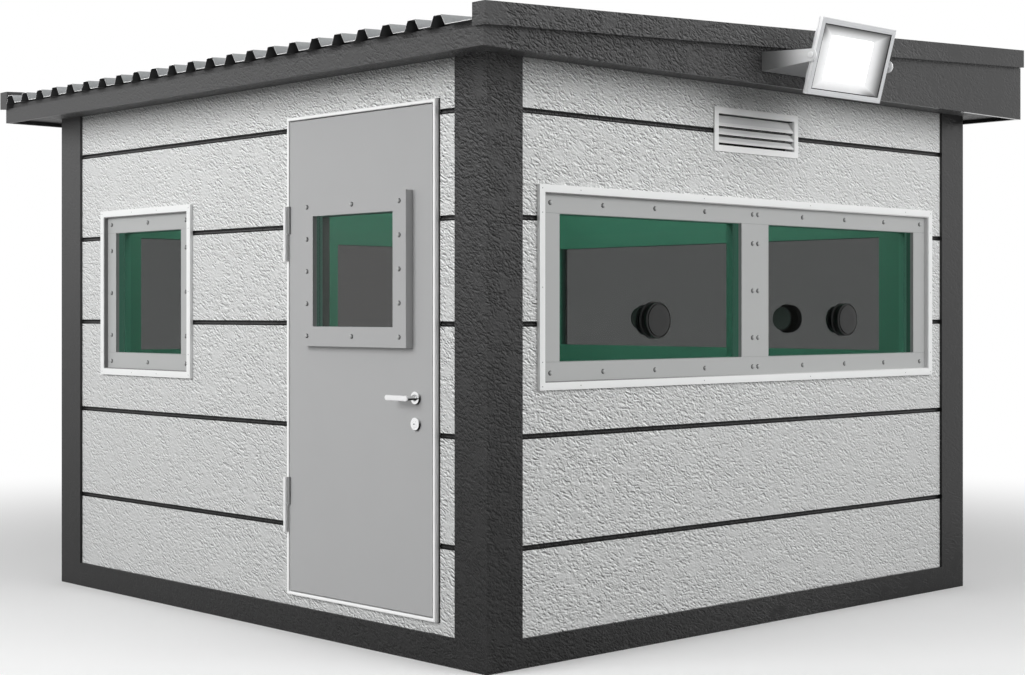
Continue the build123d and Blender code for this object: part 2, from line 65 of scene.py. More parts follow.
def value_of(operation, *values, clamp=False):
    """Output of a math node; each value is a number or a socket, and one at least is a socket."""
    return joined("ShaderNodeMath", dict(enumerate(values)), operation=operation, use_clamp=clamp)


def product(first, *others):
    """Product of two or more values."""
    for other in others:
        first = value_of("MULTIPLY", first, other)
    return first


def blended(factor, first, second):
    """Colour that goes from the first to the second as the factor goes from 0 to 1."""
    first, second = ((*c, 1) if isinstance(c, tuple) else c for c in (first, second))
    return joined("ShaderNodeMix", {0: factor, 6: first, 7: second}, 2, data_type="RGBA")


def ramped(value, low, high, to_low=0.0, to_high=1.0):
    """Value brought smoothly from the range low to high into the range to_low to to_high."""
    return joined("ShaderNodeMapRange", {0: value, 1: low, 2: high, 3: to_low, 4: to_high},
                  interpolation_type="SMOOTHSTEP")


def effect(name, inputs, outputs):
    """Empty shader node group with these named sockets, and its input and output nodes."""
    group = bpy.data.node_groups.new(name, "ShaderNodeTree")
    for socket, kind, value in inputs:
        made = group.interface.new_socket(socket, in_out="INPUT", socket_type=kind)
        if value is not None:
            made.default_value = value
    for socket, kind in outputs:
        group.interface.new_socket(socket, in_out="OUTPUT", socket_type=kind)
    return group, group.nodes.new("NodeGroupInput").outputs, group.nodes.new("NodeGroupOutput").inputs


def axes_of(place):
    """The three coordinates of a position."""
    split = place.id_data.nodes.new("ShaderNodeSeparateXYZ")
    place.id_data.links.new(place, split.inputs[0])
    return split.outputs


def crumpled_relief():
    """Relief of the embossed sheet. Height is high on the crests of two stretched noises, where each is
    near its middle value, less its mean, and a slow third noise fades it towards smooth patches. The
    crests run down at a slant along every wall."""
    group, given, result = effect("Crumpled relief", [("Position", "NodeSocketVector", None)],
                                  [("Height", "NodeSocketFloat")])
    place = given["Position"]
    x, y, z = axes_of(place)
    level = value_of("SUBTRACT", x, y)
    spread = value_of("ADD", x, y)
    slant = 0.45
    across = value_of("MULTIPLY_ADD", level, slant, z)
    along = value_of("MULTIPLY_ADD", z, -slant, level)
    crests = []
    for wide, long, share in ((70.0, 25.0, 0.75), (34.0, 60.0, 0.25)):
        stretched = joined("ShaderNodeCombineXYZ", {0: product(across, wide), 1: product(along, long),
                                                    2: product(spread, 9.0)})
        noise = joined("ShaderNodeTexNoise", {"Vector": stretched, "Scale": 1.0, "Detail": 2.0,
                                              "Roughness": 0.5, "Distortion": 0.5})
        away = value_of("ABSOLUTE", value_of("SUBTRACT", noise, 0.5))
        crest = value_of("SUBTRACT", 1.0, product(away, 5.5), clamp=True)
        crests.append(product(crest, share))
    mean_height = 0.5
    relief = value_of("SUBTRACT", value_of("ADD", *crests), mean_height)
    slow = joined("ShaderNodeTexNoise", {"Vector": place, "Scale": 11.0, "Detail": 2.0, "Roughness": 0.6})
    patches = ramped(slow, 0.33, 0.5, 0.3, 1.0)
    group.links.new(product(relief, patches), result["Height"])
    return group


def paint_mottle():
    """Slight unevenness of a paint coat, about 1: a cloudy noise and a fine one, swung by Amount."""
    group, given, result = effect(
        "Paint mottle", [("Position", "NodeSocketVector", None), ("Amount", "NodeSocketFloat", 0.05),
                         ("Scale", "NodeSocketFloat", 5.0)],
        [("Shade", "NodeSocketFloat"), ("Grain", "NodeSocketFloat")])
    clouds = joined("ShaderNodeTexNoise", {"Vector": given["Position"], "Scale": given["Scale"],
                                           "Detail": 4.0, "Roughness": 0.6})
    grain = joined("ShaderNodeTexNoise", {"Vector": given["Position"], "Scale": 420.0, "Detail": 1.0})
    swing = product(value_of("SUBTRACT", clouds, 0.5), given["Amount"])
    group.links.new(value_of("MULTIPLY_ADD", swing, 2.0, 1.0), result["Shade"])
    group.links.new(grain, result["Grain"])
    return group


relief_group, mottle_group = crumpled_relief(), paint_mottle()


def finish_named(name, roughness, metallic=0.0, **constants):
    """New material with these plain constants; returns it, its shader and the piece's own position."""
    material = bpy.data.materials.new(name)
    material.use_nodes = True
    nodes = material.node_tree.nodes
    shader = nodes["Principled BSDF"]
    shader.inputs["Roughness"].default_value = roughness
    shader.inputs["Metallic"].default_value = metallic
    for socket, value in constants.items():
        shader.inputs[socket.replace("_", " ")].default_value = value
    return material, shader, nodes.new("ShaderNodeTexCoord").outputs["Object"]


def grouped(group, place, **constants):
    """Outputs of an effect placed at a position, with these constants."""
    node = place.id_data.nodes.new("ShaderNodeGroup")
    node.node_tree = group
    place.id_data.links.new(place, node.inputs["Position"])
    for name, value in constants.items():
        node.inputs[name].default_value = value
    return node.outputs


def feed(shader, socket, value):
    """Links a value to this socket of the shader."""
    value.id_data.links.new(value, shader.inputs[socket])


def shaded(colour, shade):
    """Colour multiplied by a shade."""
    return joined("ShaderNodeVectorMath", {0: colour, "Scale": shade}, operation="SCALE")


def bumped(shader, height, depth):
    """Raises the shader's surface by a height whose full range is depth in metres."""
    feed(shader, "Normal", joined("ShaderNodeBump", {"Height": height, "Distance": depth}))


def uneven_gloss(shader, shade, swing, roughness):
    """Roughness of this value, plus swing times what the shade is above 1."""
    feed(shader, "Roughness", value_of("MULTIPLY_ADD", value_of("SUBTRACT", shade, 1.0), swing, roughness))


def reach(place):
    """Distance of a point from the middle of the cabin, measured square to the nearest wall."""
    x, y, _ = axes_of(place)
    return value_of("MAXIMUM", value_of("ABSOLUTE", x), value_of("ABSOLUTE", y))


room_green = (0.115, 0.40, 0.27)
room_face, joint_bottom = 1.5375, 1.6345  # reach of the room's lining and of the dark of the wall joints


def embossed_sheet(name, colour, roughness, depth, relief_light, foot, head, flat_end, far_end_shade=1.0, low_edge=1.0,
                   with_joints=False, **constants):
    """Painted sheet with the crumpled relief outside, depth metres high, and the smooth green coat of the
    room on every face inside the cabin. Painted light and shade on the relief make its upper flanks
    lighter than its lower ones, by a factor given for each sheet. The colour is foot times as bright at
    the ground and head times at the roof, as painted shade low down and painted light high up, and it is
    painted darker towards the right to the factor given for the far end, as painted shade. The relief is
    flat_end times as high at the two corners beside the door corner as there, and low_edge times as high
    along the roof's low edge."""
    material, shader, place = finish_named(name, roughness, **constants)
    x, y, z = axes_of(place)
    distance = reach(place)
    inside = value_of("LESS_THAN", distance, room_face)
    shade, grain = grouped(mottle_group, place, Amount=0.02, Scale=2.3)
    # Painted shade: the sheet is painted darker towards its right end.
    shade = product(shade, ramped(x, -1.5, 1.6, 1.0, far_end_shade))
    uneven_gloss(shader, shade, 1.5, roughness)

    from_ends = value_of("ABSOLUTE", value_of("ADD", x, y))
    rolled = product(ramped(from_ends, 0.3, 3.2, flat_end, 1.0), ramped(x, -1.80, -1.72, low_edge, 1.0))
    height = grouped(relief_group, place)["Height"]
    # Painted light and shade of the relief: its upper flanks are painted lighter, its lower ones darker.
    above = joined("ShaderNodeVectorMath", {0: place, 1: (0.0015, -0.0015, 0.004)}, operation="ADD")
    fall = value_of("SUBTRACT", height, grouped(relief_group, above)["Height"])
    tone = product(shade, value_of("MULTIPLY_ADD", product(fall, rolled), relief_light, 1.0))
    # Painted shade towards the ground and painted light towards the roof.
    skin = shaded(colour, product(tone, ramped(z, 0.1, 2.75, foot, head)))
    if with_joints:
        in_joint = value_of("LESS_THAN", distance, joint_bottom)
        skin = blended(in_joint, skin, (0.012, 0.012, 0.012))
    feed(shader, "Base Color", blended(inside, skin, shaded(room_green, shade)))

    height = product(height, rolled, value_of("SUBTRACT", 1.0, inside))
    bumped(shader, value_of("MULTIPLY_ADD", grain, 0.02, height), depth)
    return material


def dress(material, slot, *names):
    """Gives CAD pieces this finish."""
    for name in names:
        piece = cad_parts[name]
        piece.data.materials.clear()
        piece.data.materials.append(material)


dark_sheet = embossed_sheet("Dark embossed sheet", (0.053, 0.053, 0.0535), 0.46, 0.006, relief_light=2.6, foot=0.22,
                            head=1.25, flat_end=0.12, far_end_shade=0.52, low_edge=0.4, Specular_IOR_Level=0.3)
dress(dark_sheet, "dark_panel", "base_frame")

# Floor: a plywood-and-foam deck laid between the rails, covered with a speckled vinyl sheet that is
# glued down in one piece.


def coated(shader, place, colour, amount, scale, peel=0.0, tone=None):
    """Colours the shader with a coat whose mottle has this amount and scale, times the tone where one is
    given, and raises its grain by peel in metres. Returns the coat's shade."""
    shade, grain = grouped(mottle_group, place, Amount=amount, Scale=scale)
    tone = shade if tone is None else product(shade, tone)
    feed(shader, "Base Color", shaded(colour, tone))
    if peel:
        bumped(shader, grain, peel)
    return shade


vinyl, shader, place = finish_named("Speckled vinyl", 0.45)
specks = joined("ShaderNodeTexVoronoi", {"Vector": place, "Scale": 170.0})
chips = ramped(specks, 0.10, 0.30, 0.72, 1.0)
coated(shader, place, (0.23, 0.235, 0.225), 0.06, 3.0, 0.0002, chips)
dress(vinyl, "floor_cover", "floor")

# Corner posts: folded steel posts, welded to the base rails, with the dark embossed sheet on both
# outward faces and green paint on what shows in the room.
dress(dark_sheet, "dark_panel", "corner_posts")

# Walls: sandwich panels with a light embossed sheet outside and a smooth green sheet inside, stacked
# between the posts. In each level joint the dark tongue of one panel stands in a black seal.
post_face = 1.65  # reach of the posts' outward faces
panel_out = -0.014  # the panels' faces, from the posts' faces


def box_of(name):
    """Lowest and highest corner of a CAD piece."""
    return [np.array(corner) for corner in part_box(name)]


def wall_side(face, out=0.0):
    """Origin and the across, up and outward directions of one side, at out from the posts' faces."""
    across, outward = {"front": ((1, 0, 0), (0, -1, 0)), "back": ((-1, 0, 0), (0, 1, 0)),
                       "left": ((0, -1, 0), (-1, 0, 0)), "right": ((0, 1, 0), (1, 0, 0))}[face]
    across, outward = np.array(across, float), np.array(outward, float)
    return outward * (post_face + out), across, np.array((0.0, 0.0, 1.0)), outward


def set_out(points, place):
    """Local points, as distances across, up and out, brought into the booth's frame."""
    origin, across, up, outward = place
    return origin + points[..., :1] * across + points[..., 1:2] * up + points[..., 2:] * outward


def surface(name, shape, place, material, body, smooth=32.0):
    """New piece from a shape's local points and its faces, set out from a place, and smooth where its faces
    meet at less than this angle."""
    points, faces = shape
    mesh = bpy.data.meshes.new(name)
    mesh.from_pydata(set_out(points.reshape(-1, 3), place).tolist(), [], faces)
    mesh.validate()
    mesh.shade_smooth()
    mesh.set_sharp_from_angle(angle=radians(smooth))
    mesh.materials.append(material)
    piece = bpy.data.objects.new(name, mesh)
    bpy.context.scene.collection.objects.link(piece)
    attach(piece, body)
    return piece


def rounded(corners, radius):
    """A closed outline whose convex corners are cut by short arcs: each arc runs between the points one
    radius away from the corner along its two sides, as a curve drawn towards the corner."""
    corners = np.array(corners, float)
    before = np.roll(corners, 1, 0) - corners
    after = np.roll(corners, -1, 0) - corners
    before *= radius / np.linalg.norm(before, axis=1, keepdims=True)
    after *= radius / np.linalg.norm(after, axis=1, keepdims=True)
    t = np.linspace(0, 1, 3)[None, :, None]
    arcs = corners[:, None] + before[:, None] * (1 - t) ** 2 + after[:, None] * t ** 2
    return arcs.reshape(-1, 2)


def bar_along(outline, start, stop):
    """A closed outline carried straight from start to stop across the wall, with flat ends. Outline
    points are a height and a distance out."""
    outline = np.array(outline, float)
    count = len(outline)
    points = np.concatenate([np.column_stack([np.full(count, u), outline]) for u in (start, stop)])
    ring = np.arange(count)
    beside = (ring + 1) % count
    faces = np.stack([ring, beside, beside + count, ring + count], 1).tolist()
    return points, faces + [ring[::-1].tolist(), (ring + count).tolist()]


def gathered(*shapes):
    """Several sets of points and faces as one."""
    points, faces, count = [], [], 0
    for shape_points, shape_faces in shapes:
        shape_points = shape_points.reshape(-1, 3)
        points.append(shape_points)
        faces += [[i + count for i in face] for face in shape_faces]
        count += len(shape_points)
    return np.concatenate(points), faces


light_sheet = embossed_sheet("Light embossed sheet", (0.615, 0.621, 0.618), 0.55, 0.0035, relief_light=1.2,
                             foot=0.90, head=1.06, flat_end=0.7, with_joints=True, Specular_IOR_Level=0.15)
dress(light_sheet, "light_panel", "front_wall", "back_wall", "right_wall", "door_wall_rear",
      "door_wall_front", "door_wall_over", "door_wall_under")
joint_heights, joint_end = (0.471, 0.911, 1.356, 1.777, 2.201), 1.46
tongue = rounded([(-0.0050, -0.0235), (0.0010, -0.0235), (0.0010, -0.0195), (-0.0050, -0.0195)], 0.0008)
covering = {"front": ("front_window_trim", "vent_grille"), "back": ("back_window_trim",),
            "right": ("right_window_trim",), "left": ("left_window_trim", "door_casing")}
for face, covers in covering.items():
    across = wall_side(face)[1]
    tongues = []
    for height in joint_heights:
        start, stops = -joint_end, [(joint_end, joint_end)]
        for low, high in map(box_of, covers):
            if low[2] < height < high[2]:
                stops.append(tuple(sorted((low @ across, high @ across))))
        for stop, resume in sorted(stops):
            tongues.append(bar_along(tongue + (height, 0.0), start, stop))
            start = resume
    surface(face + "_joint_tongues", gathered(*tongues), wall_side(face), dark_sheet, "cabin")

# Window trims: white steel angles round every window opening, mitred at the corners and held to the
# wall with small nails.


def plain_paint(name, colour, roughness):
    """Smooth sprayed paint: a faint cloudiness, a fine orange peel and an uneven gloss."""
    material, shader, place = finish_named(name, roughness)
    shade = coated(shader, place, colour, 0.03, 4.0, 0.00012)
    uneven_gloss(shader, shade, 3.0, roughness)
    return material


def ring_faces(rows, columns, close_rows=False, start=0):
    """Quads of a grid whose columns close on themselves; a row is one copy of the profile or circle."""
    row = np.arange(rows if close_rows else rows - 1)[:, None]
    column = np.arange(columns)[None]
    after, beside = (row + 1) % rows, (column + 1) % columns
    corners = (row * columns + column, after * columns + column, after * columns + beside,
               row * columns + beside)
    return (np.stack(np.broadcast_arrays(*corners), -1).reshape(-1, 4) + start).tolist()


def moulding(half_width, half_height, profile, centre=(0.0, 0.0)):
    """A closed profile carried round a rectangle with mitred corners. Each profile point is a distance
    outwards from the rectangle's edge and a height; at a corner both of its coordinates move out."""
    profile = np.array(profile, float)
    turn = np.array([(-1, -1), (1, -1), (1, 1), (-1, 1)], float)[:, None]
    half = np.array((half_width, half_height))
    flat = np.array(centre) + turn * (half + profile[None, :, :1])
    points = np.concatenate([flat, np.broadcast_to(profile[None, :, 1:], flat.shape[:2] + (1,))], -1)
    faces = [[a, d, c, b] for a, b, c, d in ring_faces(4, len(profile), close_rows=True)]
    return points, faces


def turned(profile, count):
    """A profile of radius and height, from the middle of its top to the middle of its foot, turned once
    round its axis: across and up are the radius times the cosine and the sine of the turn."""
    profile = np.array(profile, float)
    angle = np.linspace(0, 2 * pi, count, endpoint=False)
    inner = profile[1:-1]
    ring = np.stack([inner[:, :1] * np.cos(angle), inner[:, :1] * np.sin(angle),
                     np.repeat(inner[:, 1:], count, 1)], -1).reshape(-1, 3)
    last = len(ring) + 1
    points = np.concatenate([[(0, 0, profile[0, 1])], ring, [(0, 0, profile[-1, 1])]])
    faces = ring_faces(len(inner), count, start=1)
    spoke = np.arange(count)
    beside = (spoke + 1) % count
    foot = last - count
    faces += np.stack([0 * spoke, 1 + spoke, 1 + beside], 1).tolist()
    faces += np.stack([0 * spoke + last, foot + beside, foot + spoke], 1).tolist()
    return points, faces


def repeated(shape, spots):
    """Copies of one small shape at each spot, as one set of points and faces."""
    points, faces = shape
    spots = np.array(spots, float)
    count = len(points)
    many = points[None] + spots[:, None]
    return many.reshape(-1, 3), [[i + k * count for i in face] for k in range(len(spots)) for face in faces]


white_paint = plain_paint("White steel paint", (0.82, 0.83, 0.825), 0.38)
nail_paint = plain_paint("Nail heads", (0.24, 0.24, 0.24), 0.4)
trim_section = rounded([(0.0, -0.0138), (0.0, 0.003), (0.031, 0.003), (0.031, -0.0138)], 0.0009)
nail_head = turned([(0, 0.0009), (0.0014, 0.0008), (0.0026, 0.0), (0, -0.0005)], 8)
nail_out = 0.0155  # from the opening's edge to the nails, along the middle of the trim
window_z, window_half_height = 1.502, 0.38
window_spots = {"front": (0.0, 1.338), "back": (0.0, 1.338), "right": (0.0, 1.338), "left": (-0.84, 0.38)}
for face, (middle, half_width) in window_spots.items():
    angle = moulding(half_width, window_half_height, trim_section, (middle, window_z))
    trim = surface(face + "_window_trim_moulding", angle, wall_side(face), white_paint, "cabin")
    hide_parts(face + "_window_trim")
    nail_x, nail_z = half_width + nail_out, window_half_height + nail_out
    spots = [(i * nail_x, j * 0.2985) for i in (-1, 1) for j in (-1, 0, 1)]
    spots += [(i * nail_x, j * nail_z) for i in (-1, 1) for j in (-1, 1)]
    shares = (0.28, 0.85) if half_width > 1 else (0.3,)
    spots += [(i * half_width * k, j * nail_z) for i in (-1, 1) for j in (-1, 1) for k in shares]
    nails = repeated(nail_head, [(middle + u, window_z + v, 0.003) for u, v in spots])
    surface(face + "_window_trim_nails", nails, wall_side(face), nail_paint, "cabin")

# Window frames: grey steel frames through the wall, of full-width rails with the stiles and mullion
# between them. Domed screws with rubber washers hold the outer flange and its strips to the frame.


# Green of a thick pane's edge: a painted glow that the frames and the leaf emit in the pane's groove.
painted_edge_glow = (0.055, 0.12, 0.095)
flange_face, bead_face, reveal_face = 1.6295, 1.6305, 1.606  # reach of each, and of the pane's groove
groove_middle, groove_half = 1.592, 0.0205
seam_rise, seam_half = 0.2988, 0.0009  # from the window's middle height, and half its width


def frame_paint():
    """Grey sprayed paint with a hairline where a rail meets a stile. The upstand next to the trim is painted
    dark grey, lighter towards the right, as painted shadow of the trim. The room side has the green of
    the room, and the reveal a paler green as painted light in its shade. In the pane's groove the frame
    emits a green glow, a painted glow of the thick pane's edge."""
    material, shader, place = finish_named("Grey frame paint", 0.4, Emission_Strength=1.0)
    shade, grain = grouped(mottle_group, place, Amount=0.03, Scale=4.0)
    x, _, z = axes_of(place)
    distance = reach(place)
    from_middle = value_of("ABSOLUTE", value_of("SUBTRACT", z, window_z))
    seam = product(value_of("COMPARE", from_middle, seam_rise, seam_half),
                   value_of("GREATER_THAN", distance, flange_face))
    hairline = value_of("MULTIPLY_ADD", seam, -0.2, 1.0)
    grey = shaded((0.415, 0.422, 0.419), product(shade, hairline))
    # Painted shadow of the trim: the upstand beside it is dark grey, lighter towards the right.
    trim_shadow = shaded((0.20, 0.20, 0.20), ramped(x, -1.2, 1.2, 1.0, 3.4))
    grey = blended(value_of("GREATER_THAN", distance, bead_face), grey, trim_shadow)
    in_room = value_of("LESS_THAN", distance, room_face)
    # Painted light: the reveal is painted a paler green than the room.
    green = blended(in_room, (0.16, 0.55, 0.38), shaded(room_green, shade))
    feed(shader, "Base Color", blended(value_of("LESS_THAN", distance, reveal_face), grey, green))
    # Painted glow of the pane's edge in its groove.
    in_groove = value_of("COMPARE", distance, groove_middle, groove_half)
    feed(shader, "Emission Color", shaded(painted_edge_glow, in_groove))
    bumped(shader, value_of("SUBTRACT", grain, product(seam, 4.0)), 0.00012)
    return material


grey_paint = frame_paint()
dress(grey_paint, "grey_frame", *[face + "_window_frame" for face in window_spots])
screw_paint = plain_paint("Painted screw heads", (0.42, 0.427, 0.425), 0.33)
screw_head = turned([(0, 0.0088), (0.0030, 0.0086), (0.0055, 0.0078), (0.0072, 0.0062), (0.0078, 0.0040),
                     (0.0078, 0.0012), (0, 0.0012)], 18)
screw_washer = turned([(0, 0.0016), (0.0092, 0.0016), (0.0100, 0.0009), (0.0101, -0.0004), (0, -0.0004)], 18)
rubber, shader, place = finish_named("Black rubber", 0.6, Specular_IOR_Level=0.2)
coated(shader, place, (0.030, 0.030, 0.030), 0.10, 20.0, 0.0003)


def screwed(name, spots, out, face, body, slot):
    """Screws and their washers at these spots across and up one side, standing on its plane at out."""
    spots = [(u, z, out) for u, z in spots]
    for kind, shape, material, own_slot in (("screws", screw_head, screw_paint, slot),
                                            ("washers", screw_washer, rubber, "black_plug")):
        surface(f"{name}_{kind}", repeated(shape, spots), wall_side(face), material, body)


rail_middle, rail_rise = 1.501, 0.342
for face, (middle, half_width) in window_spots.items():
    if half_width > 1:
        spots = [(u, rail_middle + k * rail_rise)
                 for u in (-1.290, -0.985, -0.668, -0.345, 0.345, 0.668, 0.985, 1.290) for k in (-1, 1)]
        if face != "right":
            spots += [(u, z) for u in (-0.0185, 0.0185) for z in (1.159, 1.289, 1.500, 1.712, 1.843)]
    else:
        spots = [(u, z) for u in (-0.339, 0.339) for z in (1.159, 1.290, 1.501, 1.712, 1.843)]
        spots += [(0.0, 1.159), (0.0, 1.843)]
    screwed(face + "_window", [(middle + u, z) for u, z in spots], -0.020, face, "cabin", "grey_frame")

# Window glass: thick laminated security panes, tinted neutral grey through the whole body, bedded in
# the grooves of the frames.
glass, shader, place = finish_named("Tinted security glass", 0.0, IOR=1.07, Transmission_Weight=1.0)
coated(shader, place, (0.275, 0.280, 0.278), 0.015, 1.5)
dress(glass, "tinted_glass", *[face + "_window_glass" for face in window_spots])

# Round ports: moulded plugs, screwed together through a sleeve in the glass from a black cap outside
# and a dark grey flange in the room.
plug, shader, place = finish_named("Black moulded plastic", 0.34, Specular_IOR_Level=0.35)
cap_foot = 1.6125
behind_cap = value_of("LESS_THAN", reach(place), cap_foot)
plastic = blended(behind_cap, (0.0085, 0.0090, 0.0088), (0.060, 0.070, 0.066))
shade = coated(shader, place, plastic, 0.10, 30.0, 0.0001)
uneven_gloss(shader, shade, 0.8, 0.34)
port_profile = [(0, 0.0412), (0.040, 0.0414), (0.0640, 0.0417), (0.0664, 0.0414), (0.0674, 0.0405),
                (0.0676, 0.0352), (0.0712, 0.0350), (0.0716, 0.0392), (0.0727, 0.0402), (0.0745, 0.0400),
                (0.0765, 0.0388), (0.0775, 0.0372), (0.0775, 0.0290), (0.0770, 0.0276), (0.0742, 0.0268),
                (0.0740, 0.0190), (0.0722, 0.0186), (0.0722, 0.0166), (0.0740, 0.0162), (0.0740, 0.0046),
                (0.0752, 0.0032), (0.0790, 0.0030), (0.0800, 0.0022), (0.0800, 0.0), (0.0500, 0.0),
                (0.0500, -0.0398), (0.0620, -0.0398), (0.0630, -0.0410), (0.0630, -0.0490),
                (0.0615, -0.0505), (0.0540, -0.0505), (0.0520, -0.0493), (0, -0.0490)]
port_radius, pane_out = 0.080, -0.038
for face in ("front", "back", "right"):
    low, high = box_of(face + "_window_ports")
    axis = 0 if face != "right" else 1
    half = (high[axis] - low[axis]) / 2 - port_radius
    port_z = (low[2] + high[2]) / 2
    pair = repeated(turned(port_profile, 64), [(-half, port_z, 0), (half, port_z, 0)])
    ports = surface(face + "_window_ports_turned", pair, wall_side(face, pane_out), plug, "cabin")
    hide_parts(face + "_window_ports")

# Vent: a flanged steel grille above the front window. Its blades slope down to rolled lips, the top
# one closes the sleeve, and a dark woven fly screen stands behind them.
vent_low, vent_high = box_of("vent_grille")
vent_z, vent_top = (vent_low[2] + vent_high[2]) / 2, vent_high[2]
vent_paint, shader, place = finish_named("Vent paint", 0.4)
y, z = axes_of(place)[1:]
# Painted shadow: dark bands under the sleeve's top border and under the lips of the top two blades.
lip_shadow, shadow_half = 0.0, 0.0027
for drop in (0.029, 0.0875, 0.1245):
    lip_shadow = value_of("ADD", lip_shadow, value_of("COMPARE", z, vent_top - drop, shadow_half))
blade_coat_and_shadow = blended(lip_shadow, (0.74, 0.745, 0.745), (0.03, 0.03, 0.03))
mouth_start, mouth_end = -1.6335, -1.630  # where the flange's coat turns into that of the blades
# Painted light: the flange is painted lighter than the blades of the same paint.
coat = blended(ramped(y, mouth_start, mouth_end), (0.90, 0.905, 0.90), blade_coat_and_shadow)
coated(shader, place, coat, 0.03, 4.0, 0.00012)
flange = rounded([(-0.0280, -0.050), (-0.0280, 0.008), (0.0, 0.008), (0.0, 0.0004), (-0.0252, 0.0004),
                  (-0.0252, -0.050)], 0.0011)
sleeve_half, blade_half, lip_radius = (0.295, 0.098), 0.2669, 0.0034
blades = []
for lip_drop, rise, depth in ((0.080, 0.0505, 0.0330), (0.117, 0.0335, 0.0290), (0.154, 0.0335, 0.0290)):
    lip = np.array((vent_top - lip_drop, 0.0))
    turn = np.linspace(radians(50), radians(310), 9)
    roll = lip + lip_radius * np.stack([np.cos(turn), np.sin(turn)], 1)
    top = lip + np.array((rise, -depth))
    blade = np.concatenate([roll, [lip + (0.0042, -0.0065), top, top + (0.0, 0.0022)]])
    blades.append(bar_along(blade, -blade_half, blade_half))
grille = surface("vent_grille_bladed", gathered(moulding(*sleeve_half, flange, (0.0, vent_z)), *blades),
                 wall_side("front", panel_out), vent_paint, "cabin")
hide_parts("vent_grille")


def grid_faces(rows, columns):
    """Quads of an open grid, one row of points after the other."""
    first = np.arange(rows - 1)[:, None] * columns + np.arange(columns - 1)[None]
    return np.stack([first, first + columns, first + columns + 1, first + 1], -1).reshape(-1, 4).tolist()


def woven(half_width, half_height, across_count, up_count, depth):
    """A woven sheet with edges turned back: out is the depth times the product of the sines of the two
    counts of half turns, and the outermost points lie four depths further in."""
    u = np.linspace(-1, 1, 2 * across_count + 1)[:, None]
    v = np.linspace(-1, 1, 2 * up_count + 1)[None]
    out = depth * np.sin(np.arange(u.size) * pi / 2)[:, None] * np.sin(np.arange(v.size) * pi / 2)
    rim = np.maximum(np.abs(u), np.abs(v)) == 1
    grid = np.stack(np.broadcast_arrays(u * half_width, v * half_height, np.where(rim, -4 * depth, out)), -1)
    return grid, grid_faces(u.size, v.size)


screen_paint, shader, place = finish_named("Fly screen", 0.6, Specular_IOR_Level=0.2)
wires = joined("ShaderNodeTexNoise", {"Vector": place, "Scale": 300.0, "Detail": 2.0})
feed(shader, "Base Color", shaded((0.012, 0.012, 0.012), ramped(wires, 0.3, 0.7, 0.6, 1.3)))
points, faces = woven(0.2665, 0.0695, 90, 24, 0.0005)
surface("vent_fly_screen", (points + (0.0, vent_z, 0.0), faces), wall_side("front", -0.056), screen_paint,
        "cabin")

# Ceiling and soffit: one insulated deck on the walls, painted white over the room. Outside the walls
# its underside carries the dark sheet as far as the fascias.
deck, shader, place = finish_named("Ceiling and soffit", 0.5)
soffit_start = 1.6
outside = value_of("GREATER_THAN", reach(place), soffit_start)
coated(shader, place, blended(outside, (0.62, 0.63, 0.62), (0.035, 0.035, 0.0355)), 0.03, 2.3)
bumped(shader, product(grouped(relief_group, place)["Height"], outside), 0.004)
dress(deck, "ceiling_paint", "ceiling")

# Fascias: folded boards of the dark embossed sheet on all four edges of the roof, screwed to the ends
# of the purlins and the deck.
dress(dark_sheet, "dark_panel", "front_fascia", "back_fascia", "low_fascia", "high_fascia")

# Purlins: square steel bars under the roof sheet, screwed down to the deck along the slope and clad
# like the fascias that close their ends.
dress(dark_sheet, "dark_panel", "purlins")

# Flashings: box sections of the dark embossed sheet that cap the front and back edges of the roof, and
# stand proud of the fascias under them.
dress(dark_sheet, "dark_panel", "front_flashing", "back_flashing")

# Roof sheet: trapezoid-ribbed zinc-coated sheet laid from the high to the low side, fixed to the
# purlins. Its coat has a fine spangle and faint streaks where water runs down the slope. Its underside
# is painted dark as painted shade, and the upright faces of its cut end near white as a painted
# highlight.
zinc, shader, place = finish_named("Zinc-coated sheet", 0.38)
shade, grain = grouped(mottle_group, place, Amount=0.06, Scale=3.0)
spangle = joined("ShaderNodeTexVoronoi", {"Vector": place, "Scale": 120.0}, "Color")
spark = ramped(spangle, 0.0, 1.0, 0.94, 1.06)
drawn_out = joined("ShaderNodeVectorMath", {0: place, 1: (1.1, 30.0, 1.0)}, operation="MULTIPLY")
run_off = joined("ShaderNodeTexNoise", {"Vector": drawn_out, "Scale": 1.0, "Detail": 3.0})
streaks = ramped(run_off, 0.35, 0.7, 1.04, 0.88)
tone = product(shade, spark, streaks)
facing = axes_of(place.id_data.nodes.new("ShaderNodeNewGeometry").outputs["Normal"])[2]
steep = 0.3  # how far a normal may rise or fall on a face that counts as upright
# Painted shade: faces that look down are painted dark.
coat = blended(value_of("LESS_THAN", facing, -steep), shaded((0.385, 0.398, 0.403), tone),
               shaded((0.09, 0.092, 0.093), shade))
# Painted highlight: the upright faces of the cut end are painted near white.
cut_end_x = -1.8725
cut_end = value_of("LESS_THAN", axes_of(place)[0], cut_end_x)
upright = value_of("LESS_THAN", value_of("ABSOLUTE", facing), steep)
edge = product(cut_end, upright)
feed(shader, "Base Color", blended(edge, coat, (0.92, 0.92, 0.92)))
feed(shader, "Roughness", ramped(streaks, 0.88, 1.04, 0.5, 0.34))
bumped(shader, grain, 0.0001)
dress(zinc, "roof_zinc", "roof_sheet")

# Door casing: a folded steel casing through the wall, whose thin white edge frames the leaf and whose
# stop stands behind it. A black rubber seal runs round it on the wall.


def door_wall_middle(low, high):
    """Middle of a box, as distances across and up the door wall."""
    return -(low[1] + high[1]) / 2, (low[2] + high[2]) / 2


